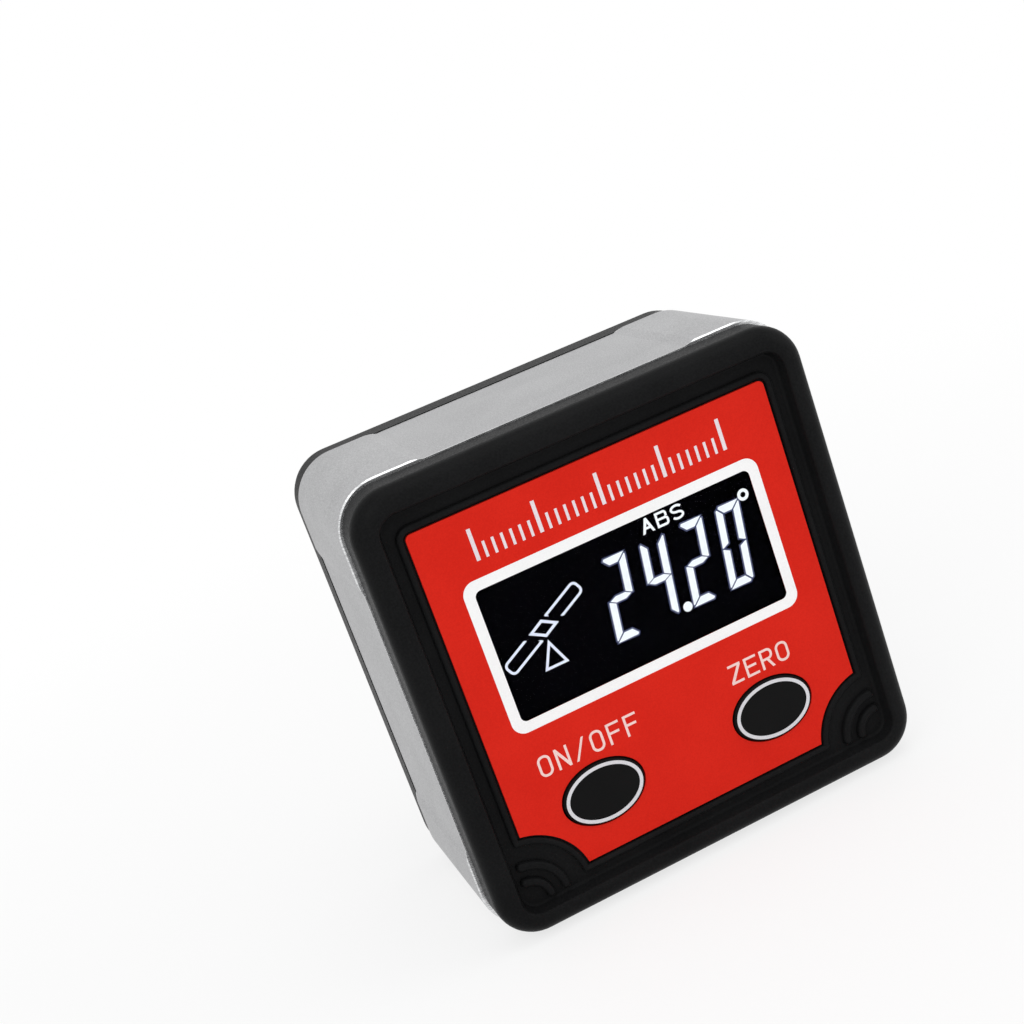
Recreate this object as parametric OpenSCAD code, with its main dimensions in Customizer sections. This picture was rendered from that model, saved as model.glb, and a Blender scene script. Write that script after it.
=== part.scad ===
// Digital angle gauge: a square box with a machined frame, a lit display and two keys.
// X runs to the right, Y to the back and Z up. The box stands on its base at Z = 0.

/* [Frame] */
// Width and height of the box across its lands
body_w = 51; // [51:0.5:62]
// Radius of the frame's outer corners
corner_r = 5.25; // [4.75:0.25:8]
// Depth of the frame from front to back
frame_d = 19.5; // [18.5:0.5:28]
// Wall of the frame at the sides and the top
frame_wall = 1.8; // [1.4:0.1:2]
// Chamfer on the frame's front and rear edges
frame_chamfer = 0.15; // [0.05:0.05:0.25]
// Radius of the corners inside the frame
cavity_r = 3.5; // [3:0.1:4]
// Width of the flat in each relieved face
relief_w = 29.5; // [28.5:0.5:34]
// Depth of the relief below the lands
relief_depth = 0.3; // [0.1:0.05:0.5]
// Width of the slope between the relief and a land
relief_ramp = 1.3; // [0.6:0.1:2]

/* [Magnets] */
// Number of magnets in the base
magnet_count = 3; // [1:1:3]
// Diameter of a magnet
magnet_d = 8; // [5:0.5:8.5]
// Thickness of a magnet
magnet_t = 3; // [1.5:0.1:3.2]
// Distance between the magnets
magnet_pitch = 10; // [9:0.25:10]
// Metal left above a magnet's pocket
magnet_floor = 0.9; // [0.6:0.1:1.4]

/* [Front bezel] */
// Depth of the bezel in front of the frame
bezel_d = 5; // [4.6:0.1:6]
// Step from a land down to the bezel
land_step = 0.45; // [0.3:0.05:0.8]
// How much tighter the bezel's corners are than the frame's
bezel_tight = 0.65; // [0.4:0.05:1.2]
// Width of the raised rim
rim_w = 2.5; // [2.3:0.1:2.8]
// Height of the rim above the floor round the label
rim_h = 1.6; // [1.2:0.1:2]
// Rounding of the rim's outer edge
rim_round = 2.1; // [1.2:0.05:2.1]
// Rounding of the rim's inner edge
rim_edge = 0.45; // [0.1:0.05:0.5]
// Fillet at the foot of the rim's inner wall
rim_foot = 0.35; // [0.1:0.05:0.6]
// How far the rim's inner wall leans
rim_lean = 0.35; // [0.1:0.05:0.5]
// Thickness of the panel behind the label
panel_t = 1.6; // [1.2:0.1:2]
// Width of the bead round the label
bead_w = 0.7; // [0.4:0.05:0.9]
// Height of the bead above the floor
bead_h = 0.6; // [0.5:0.05:0.9]
// Gap between the label and the bead
bead_gap = 0.25; // [0.1:0.05:0.4]
// Radii of the arc ribs in the lower corners
rib_radii = [2.4, 4.2];
// Width of an arc rib
rib_w = 0.95; // [0.6:0.05:1.1]
// Height of an arc rib above the floor
rib_h = 0.7; // [0.5:0.05:0.9]
// Angle left open at each end of an arc rib
rib_open = 4; // [0:1:12]
// Length of the spigots that centre the bezel and the cover in the frame
spigot_l = 1.6; // [1.2:0.1:2]
// Wall of the spigots
spigot_t = 1.3; // [1:0.1:1.6]

/* [Label] */
// Space between the label and the rim at the sides
label_side = 2.1; // [1.9:0.05:2.95]
// Space between the label and the rim above and below
label_end = 2.25; // [1.9:0.05:2.95]
// Thickness of the label
label_t = 0.35; // [0.2:0.05:0.5]
// How far the label's centre lies below the centre of the box
label_drop = 0.2; // [0:0.05:0.4]
// Radius of the label's upper corners
label_r = 0.6; // [0.3:0.1:2]
// Radius of the arcs that hollow the label's lower corners
label_cut_r = 7.4; // [6.8:0.1:8]
// Distance of those arcs' centres outside the label's edges
label_cut_out = 1.35; // [1:0.05:1.6]

/* [Display] */
// Width of the label at the sides of the window
win_side = 4.35; // [4.1:0.05:6.6]
// Height of the label above the window
win_top = 7.96; // [7.6:0.02:9.4]
// Height of the label below the window
win_low = 17.04; // [16.8:0.02:18.4]
// Corner radius of the window
win_r = 0.6; // [0.3:0.1:1.5]
// Margin of the display glass at the sides of the window
lcd_side = 1.5; // [1.2:0.05:1.8]
// Margin of the display glass above and below the window
lcd_margin = 2; // [1.7:0.05:2.1]
// Thickness of the display glass
lcd_t = 2.2; // [1.6:0.1:2.6]
// Wall of the holder round the display
holder_t = 1.2; // [0.8:0.1:1.3]
// Width of the contact strip
strip_w = 2; // [1.2:0.1:2.4]

/* [Keys] */
// Width of an oval key
key_w = 9.25; // [7:0.05:10]
// Height of an oval key
key_h = 6.65; // [5:0.05:7.4]
// Distance of a key's centre from the label's side
key_side = 9.95; // [9.1:0.05:12.1]
// Distance of a key's centre above the label's lower edge
key_low = 6.45; // [5.95:0.05:6.95]
// How far a key stands out of the label
key_proud = 0.3; // [0.1:0.05:0.5]
// Rounding of a key's edge
key_round = 0.35; // [0.1:0.05:0.6]
// Gap round a key
key_gap = 0.15; // [0.1:0.01:0.25]
// Lip that holds a key behind the panel
key_lip = 0.9; // [0.6:0.1:1.2]
// Thickness of that lip
key_lip_t = 0.9; // [0.6:0.1:1]
// Travel of a key
key_travel = 0.5; // [0.2:0.05:0.5]

/* [Board] */
// Thickness of the circuit board
board_t = 1.2; // [0.8:0.1:1.6]
// Gap between the bezel's spigot and the board
board_set = 0.4; // [0.3:0.05:0.8]
// Gap between the board and the inside of the frame
board_gap = 0.5; // [0.3:0.05:0.8]
// Distance of the board's screws from the inside of the frame
board_screw_inset = 2.4; // [2.3:0.1:2.6]
// Distance of the board's screws above and below the centre of the box
board_screw_z = 9.5; // [8:0.1:11]
// Diameter of the bosses that carry the board
board_boss_d = 3.4; // [3:0.1:3.6]
// Diameter of a board screw
board_screw_d = 1.6; // [1.2:0.1:1.8]
// Diameter of a board screw's head
board_head_d = 3; // [2.4:0.1:3.2]
// Height of a board screw's head
board_head_h = 1; // [0.7:0.1:1.4]
// Length of a board screw under its head
board_screw_l = 4; // [3.2:0.1:4.3]
// Side of a switch body
switch_w = 6; // [4.5:0.1:6.2]
// Diameter of a switch plunger
plunger_d = 3.4; // [2.4:0.1:3.8]
// How far a plunger stands out of its switch
plunger_out = 0.75; // [0.7:0.05:1]
// How far a plunger reaches into its switch
plunger_in = 0.9; // [0.6:0.1:1]
// Side of the tilt sensor
sensor_w = 4; // [2.5:0.1:5]
// Height of the tilt sensor
sensor_h = 1.1; // [0.8:0.1:1.5]
// Side of the controller chip
chip_w = 9; // [6:0.1:10]
// Height of the controller chip
chip_h = 1.5; // [1:0.1:2]
// Distance of the two chips from the centre of the board
chip_z = 8; // [7.6:0.1:10]

/* [Cells] */
// Diameter of a cell
cell_d = 10.5; // [9.8:0.1:10.6]
// Room between a cell and its contact at each end
cell_room = 0.4; // [0.3:0.05:2]
// Diameter of a cell's terminal
cell_nub_d = 3.8; // [3:0.1:4.4]
// Length of a cell's terminal
cell_nub_l = 1; // [0.8:0.1:1.2]
// Gap between the cells
cell_gap = 0.3; // [0.2:0.05:0.6]
// Thickness of a battery contact
contact_t = 0.3; // [0.2:0.02:0.34]
// Width of a battery contact
contact_w = 7.2; // [5:0.1:8]
// Width of a contact's solder tab
tab_w = 2; // [1.4:0.1:2.6]

/* [Rear cover] */
// Depth of the rear cover behind the frame
cover_d = 5; // [4.6:0.1:6]
// Step from a land down to the cover
rear_step = 0.22; // [0.1:0.02:0.6]
// Rounding of the cover's rear edge
cover_round = 2; // [1.2:0.1:3]
// Thickness of the cover's rear wall
cover_t = 1.8; // [1.7:0.05:2.2]
// End wall of the battery tray
tray_end_t = 0.53; // [0.4:0.01:0.6]
// Side walls and floor of the battery tray
tray_t = 1.2; // [0.9:0.1:1.6]
// Thickness of the battery door
door_t = 1.6; // [1.4:0.05:1.7]
// Thickness of the tongues that run under the cover's lips
tongue_t = 1; // [0.8:0.05:1.1]
// Width of those tongues
tongue_w = 1; // [0.7:0.05:1.2]
// Overlap of the door on the rim of the battery tray
door_lap = 0.6; // [0.4:0.05:0.9]
// Lip of the cover over the closed end of the tray
end_lip = 2.05; // [1.8:0.05:2.6]
// Wall outside the grooves that guide the door
rail_t = 1.3; // [1:0.05:1.6]
// Number of thumb grooves in the door
grip_count = 6; // [3:1:8]
// Distance between the thumb grooves
grip_pitch = 1.8; // [1.4:0.1:2]
// Width of a thumb groove
grip_w = 0.9; // [0.5:0.05:1.1]
// Depth of a thumb groove
grip_depth = 0.5; // [0.2:0.05:0.7]
// Length of the thumb grooves
grip_l = 12; // [8:0.5:18]
// Distance of the thumb grooves from the middle
grip_x = 12; // [8:0.5:14]
// Diameter of the posts that take the cover's screws
post_d = 5.6; // [4.6:0.1:5.8]
// Diameter of the cover's own bosses
boss_d = 6.2; // [5.8:0.1:6.3]
// Length of those bosses from the rear face
boss_l = 13; // [11:0.1:14]
// Depth of the screw heads' seats from the rear face
seat_depth = 7; // [5:0.1:8]
// Diameter of a cover screw
screw_d = 2.2; // [1.8:0.1:2.5]
// Diameter of a cover screw's head
head_d = 4; // [3.4:0.1:4.4]
// Height of a cover screw's head
head_h = 1.6; // [1:0.1:2]
// Length of the cross in a cover screw's head
recess_l = 2.2; // [1.6:0.1:2.8]
// Width of that cross
recess_w = 0.5; // [0.3:0.05:0.7]
// Depth of that cross
recess_depth = 0.8; // [0.4:0.1:0.9]
// Length of a cover screw under its head
screw_l = 10; // [9:0.1:13]
// Space between a post and the inside of the frame
post_gap = 0.5; // [0.4:0.05:0.7]

/* [Fits] */
// Gap between parts that slip into one another
fit = 0.12; // [0.08:0.01:0.2]
// Gap between faces that only seat on one another
seat_gap = 0.05; // [0.02:0.01:0.08]

/* [Hidden] */
$fn = 64;
over = 1;

// Outline of the bezel and the rear cover
half_w = body_w / 2;
bezel_half = half_w - land_step;
bezel_r = corner_r - bezel_tight;
rear_half = half_w - rear_step;
rear_r = corner_r - rear_step;
floor_half = bezel_half - rim_w - rim_lean;

// Label, window and keys
label_w = 2 * (floor_half - label_side);
label_h = 2 * (floor_half - label_end);
win_w = label_w - 2 * win_side;
win_h = label_h - win_top - win_low;
key_x = label_w / 2 - key_side;

// Heights of the box, the label, the window and the keys
body_z = half_w;
label_z = body_z - label_drop;
win_z = label_z + (win_low - win_top) / 2;
key_z = label_z - label_h / 2 + key_low;

// Depths from the front to the back
frame_front = -frame_d / 2;
frame_rear = frame_d / 2;
rim_y = frame_front - bezel_d;
floor_y = rim_y + rim_h;
label_y = floor_y - label_t;
panel_y = floor_y + panel_t;
lcd_y = floor_y + seat_gap;
guide_y = lcd_y + lcd_t;
board_y = frame_front + spigot_l + board_set;
board_rear = board_y + board_t;
rear_y = frame_rear + cover_d;
door_y = rear_y - door_t;
tongue_y = door_y - tongue_t;
cell_y = tongue_y - cell_gap - cell_d / 2;
tray_y = cell_y - cell_d / 2 - seat_gap;

// Inside of the frame
base_wall = relief_depth + magnet_t + magnet_floor;
cavity_w = body_w - 2 * frame_wall;
cavity_h = body_w - frame_wall - base_wall;
cavity_z = base_wall + cavity_h / 2;

// Bezel and rear cover
label_cut_x = label_w / 2 + label_cut_out;
label_cut_z = label_h / 2 + label_cut_out;
bead_mid = bead_gap + bead_w / 2;
post_x = cavity_w / 2 - post_gap - post_d / 2;
post_z = body_z - base_wall - post_gap - post_d / 2;
post_end = rear_y - boss_l - seat_gap;
pilot_end = rear_y - seat_depth - screw_l - over;
board_screw_x = cavity_w / 2 - board_screw_inset;

// Display stack
lcd_w = win_w + 2 * lcd_side;
lcd_h = win_h + 2 * lcd_margin;
strip_z = win_z - lcd_h / 2 + fit + strip_w / 2;
guide_end = 2.4;
guide_w = lcd_w - 2 * guide_end;
guide_h = lcd_h - strip_w - 4 * fit;
guide_z = win_z + lcd_h / 2 - fit - guide_h / 2;
led = [1.4, 1.6, 3];

// Keys and switches
key_front = label_y - key_proud;
key_lip_y = panel_y + seat_gap;
key_rear = key_lip_y + key_lip_t;
switch_y = key_rear + plunger_out;
bore_l = plunger_in + key_travel + 4 * seat_gap;

// Battery tray, door and contacts
tray_half = cavity_w / 2 - fit - tray_end_t;
cell_z = (cell_d + cell_gap) / 2;
tray_top = cell_z + cell_d / 2 + cell_gap;
door_half = tray_top + door_lap;
door_start = -tray_half + end_lip;
contact_face = tray_half - seat_gap - contact_t;
cell_l = 2 * (contact_face - cell_room - seat_gap);

// Shapes that several parts share

// A flat shape in X and Z, made solid from one depth to another
module along_y(from, to) {
    translate([0, to, 0]) rotate([90, 0, 0]) linear_extrude(to - from) children();
}

// A profile of radius and depth, turned about the Y axis
module turned_y(angle = 360) {
    rotate([-90, 0, 0]) rotate_extrude(angle = angle) children();
}

module rounded_rect(w, h, r) {
    square([w - 2 * r, h], center = true);
    square([w, h - 2 * r], center = true);
    for (x = [-1, 1], z = [-1, 1]) {
        translate([x * (w / 2 - r), z * (h / 2 - r)]) circle(r = r);
    }
}

module oval(w, h) {
    scale([1, h / w]) circle(d = w);
}

// The waste outside a round of radius r at the corner of a profile, which lies above and left of the origin
module corner_waste(r) {
    difference() {
        translate([-r, -over]) square(r + over);
        translate([-r, r]) circle(r = r);
    }
}

// A square block with round corners: its edge profile is swept round a plain core
module swept_block(half, r, core_from, core_to) {
    core = half - r;
    for (turn = [0:90:270]) {
        rotate([0, turn, 0]) {
            translate([core, 0, -core]) linear_extrude(2 * core) children();
            translate([core, 0, -core]) turned_y(90) children();
        }
    }
    translate([-core, core_from, -core]) cube([2 * core, core_to - core_from, 2 * core]);
}

// The inside of the frame, grown by g
module cavity_outline(g = 0) {
    translate([0, cavity_z]) rounded_rect(cavity_w + 2 * g, cavity_h + 2 * g, cavity_r + g);
}

// The label's outline, grown by g
module label_outline(g = 0) {
    translate([0, label_z]) difference() {
        rounded_rect(label_w + 2 * g, label_h + 2 * g, label_r + g);
        for (side = [-1, 1]) {
            translate([side * label_cut_x, -label_cut_z]) circle(r = label_cut_r - g);
        }
    }
}

module window_outline(g = 0) {
    translate([0, win_z]) rounded_rect(win_w + 2 * g, win_h + 2 * g, win_r);
}

module at_keys() {
    for (side = [-1, 1]) {
        translate([side * key_x, key_z]) children();
    }
}

module at_posts() {
    for (x = [-1, 1], z = [-1, 1]) {
        translate([x * post_x, body_z + z * post_z]) children();
    }
}

module at_board_screws() {
    for (x = [-1, 1], z = [-1, 1]) {
        translate([x * board_screw_x, body_z + z * board_screw_z]) children();
    }
}

// A ridge with a round top, seen end on, that stands on the bezel's floor
module ridge_profile(w, h) {
    translate([-w / 2, floor_y - h + w / 2]) square([w, h - w / 2 + seat_gap]);
    translate([0, floor_y - h + w / 2]) circle(d = w);
}

// The round end of such a ridge, below the X axis
module ridge_cap(w, h) {
    turned_y(180) intersection() {
        ridge_profile(w, h);
        translate([0, floor_y - 2 * h]) square([w, 4 * h]);
    }
}

// A ridge along an arc about the Y axis, from one angle to another, both measured upwards from X
module ridge_arc(r, w, h, from, to) {
    rotate([0, -to, 0]) turned_y(to - from) translate([r, 0]) ridge_profile(w, h);
}

// Frame

module relief_waste() {
    flat = relief_w / 2;
    slope = relief_ramp / relief_depth;
    rise = 1;
    polygon([
        [-flat, half_w - relief_depth],
        [flat, half_w - relief_depth],
        [flat + relief_ramp + slope * rise, half_w + rise],
        [-flat - relief_ramp - slope * rise, half_w + rise],
    ]);
}

module frame_profile() {
    c = frame_chamfer;
    polygon([
        [0, frame_front], [corner_r - c, frame_front], [corner_r, frame_front + c],
        [corner_r, frame_rear - c], [corner_r - c, frame_rear], [0, frame_rear],
    ]);
}

module at_magnets() {
    for (i = [0 : magnet_count - 1]) {
        translate([(i - (magnet_count - 1) / 2) * magnet_pitch, 0, 0]) children();
    }
}

module frame() {
    color("silver") difference() {
        translate([0, 0, body_z]) swept_block(half_w, corner_r, frame_front, frame_rear) frame_profile();
        along_y(frame_front - over, frame_rear + over) cavity_outline();
        translate([0, 0, body_z]) for (turn = [0:90:270]) {
            rotate([0, turn, 0]) along_y(frame_front - over, frame_rear + over) relief_waste();
        }
        at_magnets() translate([0, 0, -over]) {
            cylinder(d = magnet_d + 2 * seat_gap, h = over + relief_depth + magnet_t + 2 * seat_gap);
        }
    }
}

module base_magnets() {
    color("gainsboro") at_magnets() {
        translate([0, 0, relief_depth + seat_gap]) cylinder(d = magnet_d, h = magnet_t);
    }
}

// Front

// The rim's inner wall leans, so its edge and its foot are rounded by circles that touch both sides
module bezel_profile() {
    crest = [bezel_r - rim_w, rim_y];
    foot = [bezel_r - rim_w - rim_lean, floor_y];
    down = [-rim_lean, rim_h] / norm([rim_lean, rim_h]);
    touch = tan((90 - atan(rim_lean / rim_h)) / 2);
    edge_mid = crest + [rim_edge * touch, rim_edge];
    foot_mid = foot + [-rim_foot * touch, -rim_foot];
    difference() {
        polygon([
            [0, frame_front], [bezel_r, frame_front], [bezel_r, rim_y], crest,
            foot - rim_foot * touch * down, foot_mid, [foot_mid.x, floor_y], [0, floor_y],
        ]);
        translate([bezel_r, rim_y]) corner_waste(rim_round);
        translate(foot_mid) circle(r = rim_foot);
        difference() {
            polygon([
                crest + [0, -over], [edge_mid.x, rim_y - over], edge_mid,
                crest + rim_edge * touch * down, crest + [-over, 0],
            ]);
            translate(edge_mid) circle(r = rim_edge);
        }
    }
}

// The bead that follows the label's outline
module label_bead() {
    side = label_w / 2 + bead_mid;
    upper = label_h / 2 + bead_mid;
    round_r = label_r + bead_mid;
    cut_r = label_cut_r - bead_mid;
    // The bead is a little lower along the arcs, which run into the straight stretches
    cut_h = bead_h - seat_gap;
    arc_z = sqrt(cut_r ^ 2 - (label_cut_x - side) ^ 2) - label_cut_z;
    arc_x = label_cut_x - sqrt(cut_r ^ 2 - (label_cut_z - upper) ^ 2);
    arc_from = asin((label_cut_z - upper) / cut_r);
    arc_to = 90 - asin((label_cut_x - side) / cut_r);
    translate([-arc_x, 0, -upper]) rotate([0, 90, 0]) linear_extrude(2 * arc_x) ridge_profile(bead_w, bead_h);
    translate([round_r - side, 0, upper]) rotate([0, 90, 0]) {
        linear_extrude(2 * (side - round_r)) ridge_profile(bead_w, bead_h);
    }
    for (s = [0, 1]) {
        mirror([s, 0, 0]) {
            translate([side, 0, arc_z]) {
                linear_extrude(upper - round_r - arc_z) ridge_profile(bead_w, bead_h);
                ridge_cap(bead_w, bead_h);
            }
            translate([-arc_x, 0, -upper]) rotate([0, 90, 0]) ridge_cap(bead_w, bead_h);
            translate([side - round_r, 0, upper - round_r]) ridge_arc(round_r, bead_w, bead_h, 0, 90);
            translate([-label_cut_x, 0, -label_cut_z]) ridge_arc(cut_r, bead_w, cut_h, arc_from, arc_to);
        }
    }
}

module corner_ribs() {
    for (s = [0, 1], r = rib_radii) {
        mirror([s, 0, 0]) translate([-label_cut_x, 0, -label_cut_z]) {
            ridge_arc(r, rib_w, rib_h, rib_open, 90 - rib_open);
            rotate([0, -rib_open, 0]) translate([r, 0, 0]) ridge_cap(rib_w, rib_h);
            rotate([0, rib_open - 90, 0]) translate([r, 0, 0]) rotate([0, 180, 0]) ridge_cap(rib_w, rib_h);
        }
    }
}

module front_bezel() {
    color("#161618") difference() {
        union() {
            difference() {
                translate([0, 0, body_z]) {
                    swept_block(bezel_half, bezel_r, floor_y, frame_front) bezel_profile();
                }
                along_y(panel_y, frame_front + over) cavity_outline(-fit - spigot_t);
            }
            along_y(frame_front - seat_gap, frame_front + spigot_l) difference() {
                cavity_outline(-fit);
                cavity_outline(-fit - spigot_t);
            }
            translate([0, 0, label_z]) label_bead();
            translate([0, 0, label_z]) corner_ribs();
            along_y(panel_y - seat_gap, post_end) at_posts() circle(d = post_d);
            along_y(panel_y - seat_gap, board_y) at_board_screws() circle(d = board_boss_d);
        }
        along_y(floor_y - over, panel_y + over) lcd_outline(fit);
        along_y(floor_y - over, panel_y + over) at_keys() oval(key_w + 2 * key_gap, key_h + 2 * key_gap);
        along_y(pilot_end, post_end + over) at_posts() circle(d = screw_d + 2 * seat_gap);
        along_y(board_rear - board_screw_l - over / 2, board_y + over) at_board_screws() {
            circle(d = board_screw_d + 2 * seat_gap);
        }
    }
}

module front_label() {
    color("#de2418") along_y(label_y, floor_y) difference() {
        label_outline();
        window_outline();
        at_keys() oval(key_w + 2 * key_gap, key_h + 2 * key_gap);
    }
}

module display_lens() {
    color("lightcyan", 0.4) along_y(label_y, floor_y) window_outline(-seat_gap);
}

// Display stack and board

module lcd_outline(g = 0) {
    translate([0, win_z]) square([lcd_w + 2 * g, lcd_h + 2 * g], center = true);
}

module lcd_glass() {
    color("#08080b") along_y(lcd_y, guide_y) lcd_outline();
}

module lcd_holder() {
    color("whitesmoke") along_y(panel_y, board_y) difference() {
        lcd_outline(fit + holder_t);
        lcd_outline(fit);
    }
}

module light_guide() {
    color("white") along_y(guide_y, board_y) {
        translate([0, guide_z]) square([guide_w, guide_h], center = true);
    }
}

module backlight_leds() {
    x = guide_w / 2 + fit + led.x / 2;
    color("lightyellow") for (side = [-1, 1]) {
        translate([side * x, board_y - led.y / 2, guide_z]) cube(led, center = true);
    }
}

module contact_strip() {
    color("dimgray") along_y(guide_y, board_y) {
        translate([0, strip_z]) square([guide_w, strip_w], center = true);
    }
}

module main_board() {
    // Square notches let the cover's posts pass
    notch = post_d / 2 + 2 * fit;
    color("darkgreen") along_y(board_y, board_rear) difference() {
        cavity_outline(-board_gap);
        for (x = [-1, 1], z = [-1, 1]) {
            translate([x * (post_x - notch + half_w / 2), body_z + z * (post_z - notch + half_w / 2)]) {
                square(half_w, center = true);
            }
        }
        at_board_screws() circle(d = board_screw_d + 2 * fit);
    }
}

module board_screws() {
    color("lightgray") {
        along_y(board_rear, board_rear + board_head_h) at_board_screws() circle(d = board_head_d);
        along_y(board_rear - board_screw_l, board_rear) at_board_screws() circle(d = board_screw_d);
    }
}

module tilt_sensor() {
    color("#202024") translate([-sensor_w / 2, board_rear, body_z - chip_z - sensor_w / 2]) {
        cube([sensor_w, sensor_h, sensor_w]);
    }
}

module controller_chip() {
    color("#202024") translate([-chip_w / 2, board_rear, body_z + chip_z - chip_w / 2]) {
        cube([chip_w, chip_h, chip_w]);
    }
}

// Keys and switches

module switch_body(side) {
    translate([side * key_x, 0, key_z]) difference() {
        along_y(switch_y, board_y) square(switch_w, center = true);
        along_y(switch_y - over, switch_y + bore_l) circle(d = plunger_d + 2 * fit);
    }
}

module switch_plunger(side) {
    along_y(key_rear + seat_gap, switch_y + plunger_in) {
        translate([side * key_x, key_z]) circle(d = plunger_d);
    }
}

module key_profile() {
    difference() {
        translate([0, key_front]) square([key_w / 2, key_lip_y + key_lip_t / 2 - key_front]);
        translate([key_w / 2, key_front]) corner_waste(key_round);
    }
}

module key_cap(side) {
    translate([side * key_x, 0, key_z]) {
        scale([1, 1, key_h / key_w]) turned_y() key_profile();
        along_y(key_lip_y, key_rear) oval(key_w + 2 * key_lip, key_h + 2 * key_lip);
    }
}

module on_off_switch() {
    color("#2a2a2e") switch_body(-1);
}

module zero_switch() {
    color("#2a2a2e") switch_body(1);
}

module on_off_plunger() {
    color("ivory") switch_plunger(-1);
}

module zero_plunger() {
    color("ivory") switch_plunger(1);
}

module on_off_button() {
    color("#1b1b1d") key_cap(-1);
}

module zero_button() {
    color("#1b1b1d") key_cap(1);
}

// Rear cover, door and cells

module cover_profile() {
    difference() {
        translate([0, frame_rear]) square([rear_r, cover_d]);
        translate([rear_r, rear_y]) mirror([0, 1]) corner_waste(cover_round);
    }
}

module cover_block() {
    translate([0, 0, body_z]) swept_block(rear_half, rear_r, frame_rear, rear_y) cover_profile();
}

// A box about the centre height, from one X and Y to another
module middle_box(x, y, half_h) {
    translate([x[0], y[0], body_z - half_h]) cube([x[1] - x[0], y[1] - y[0], 2 * half_h]);
}

// The space that the door fills in the cover, grown by g
module door_space(g = 0) {
    end = half_w + over;
    middle_box([door_start - g, end], [door_y - over / 2, rear_y + over], door_half + g);
    middle_box([door_start - tongue_w - g, end], [tongue_y - g, door_y + g], door_half + tongue_w + g);
}

module at_cells(x) {
    for (z = [-1, 1]) {
        translate([x, cell_y, body_z + z * cell_z]) rotate([0, 90, 0]) children();
    }
}

module rear_cover() {
    tray_outer = cavity_w / 2 - fit;
    rail_half = door_half + tongue_w + fit + rail_t;
    wall_y = rear_y - cover_t + seat_gap;
    color("#161618") difference() {
        union() {
            difference() {
                cover_block();
                along_y(frame_rear - over, rear_y - cover_t) cavity_outline(-fit - spigot_t);
            }
            along_y(frame_rear - spigot_l, frame_rear + seat_gap) difference() {
                cavity_outline(-fit);
                cavity_outline(-fit - spigot_t);
            }
            along_y(rear_y - boss_l, wall_y) at_posts() circle(d = boss_d);
            middle_box([-tray_outer, tray_outer], [tray_y - tray_t, wall_y], tray_top + tray_t);
            middle_box([-tray_outer, tray_outer], [tongue_y - tray_t, wall_y], rail_half);
        }
        middle_box([-tray_half, tray_half], [cell_y, door_y], tray_top);
        at_cells(-tray_half) cylinder(d = cell_d + 2 * seat_gap, h = 2 * tray_half);
        middle_box([-tray_half, -cell_l / 2], [tray_y, door_y], tray_top);
        middle_box([cell_l / 2, tray_half], [tray_y, door_y], tray_top);
        door_space(fit);
        along_y(rear_y - seat_depth, rear_y + over) at_posts() circle(d = head_d + 4 * fit);
        along_y(rear_y - boss_l - over, rear_y) at_posts() circle(d = screw_d + 2 * fit);
        contact_slots();
    }
}

module battery_door() {
    rib = tongue_w + door_lap;
    color("#1c1c1e") difference() {
        intersection() {
            cover_block();
            door_space();
        }
        middle_box([door_start + rib, tray_half - rib], [tongue_y - over, door_y], door_half - rib);
        translate([grip_x, rear_y, body_z]) for (i = [0 : grip_count - 1]) {
            translate([(i - (grip_count - 1) / 2) * grip_pitch, 0, 0]) {
                cube([grip_w, 2 * grip_depth, grip_l], center = true);
            }
        }
    }
}

// A cell along Z with its terminal at the top, centred on its length
module cell() {
    r = cell_d / 2;
    bevel = 0.5;
    shoulder = cell_l / 2 - cell_nub_l;
    rotate_extrude() polygon([
        [0, -cell_l / 2], [r - bevel, -cell_l / 2], [r, -cell_l / 2 + bevel], [r, shoulder - bevel],
        [r - bevel, shoulder], [cell_nub_d / 2, shoulder], [cell_nub_d / 2, cell_l / 2], [0, cell_l / 2],
    ]);
}

module battery_upper() {
    color("steelblue") translate([0, cell_y, body_z + cell_z]) rotate([0, -90, 0]) cell();
}

module battery_lower() {
    color("steelblue") translate([0, cell_y, body_z - cell_z]) rotate([0, 90, 0]) cell();
}

// Battery contacts, drawn at the right-hand end of the tray

module contact_plate(z) {
    translate([contact_face, tray_y + seat_gap, body_z + z - contact_w / 2]) {
        cube([contact_t, cell_y + contact_w / 2 - tray_y, contact_w]);
    }
}

// The dimple that meets a cell's terminal
module contact_dimple(z) {
    translate([contact_face - cell_room, cell_y, body_z + z]) rotate([0, 90, 0]) {
        cylinder(d = cell_nub_d, h = cell_room + contact_t / 2);
    }
}

// The bowed leaf that presses on a cell's flat end
module contact_leaf(z) {
    chord = contact_w / 2;
    leaf_w = contact_w / 2;
    r = (chord ^ 2 + cell_room ^ 2) / (2 * cell_room);
    translate([contact_face, cell_y, body_z + z - leaf_w / 2]) linear_extrude(leaf_w) intersection() {
        translate([r - cell_room, 0]) difference() {
            circle(r = r);
            circle(r = r - contact_t / 2);
        }
        translate([-cell_room - over, -chord]) square([cell_room + over + contact_t / 2, 2 * chord]);
    }
}

module contact_tab(z) {
    translate([contact_face, board_rear, body_z + z - tab_w / 2]) {
        cube([contact_t, tray_y + 2 * seat_gap - board_rear, tab_w]);
    }
}

// Slots in the tray's floor for the solder tabs
module contact_slots() {
    for (z = [-cell_z, cell_z]) {
        translate([-tray_half, tray_y - tray_t - over, body_z + z - tab_w / 2 - fit]) {
            cube([contact_t + 4 * fit, tray_t + 4 * over, tab_w + 2 * fit]);
        }
    }
}

module positive_contact() {
    color("silver") mirror([1, 0, 0]) {
        contact_plate(cell_z);
        contact_dimple(cell_z);
        contact_tab(cell_z);
    }
}

module negative_contact() {
    color("silver") mirror([1, 0, 0]) {
        contact_plate(-cell_z);
        contact_leaf(-cell_z);
        contact_tab(-cell_z);
    }
}

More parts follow.
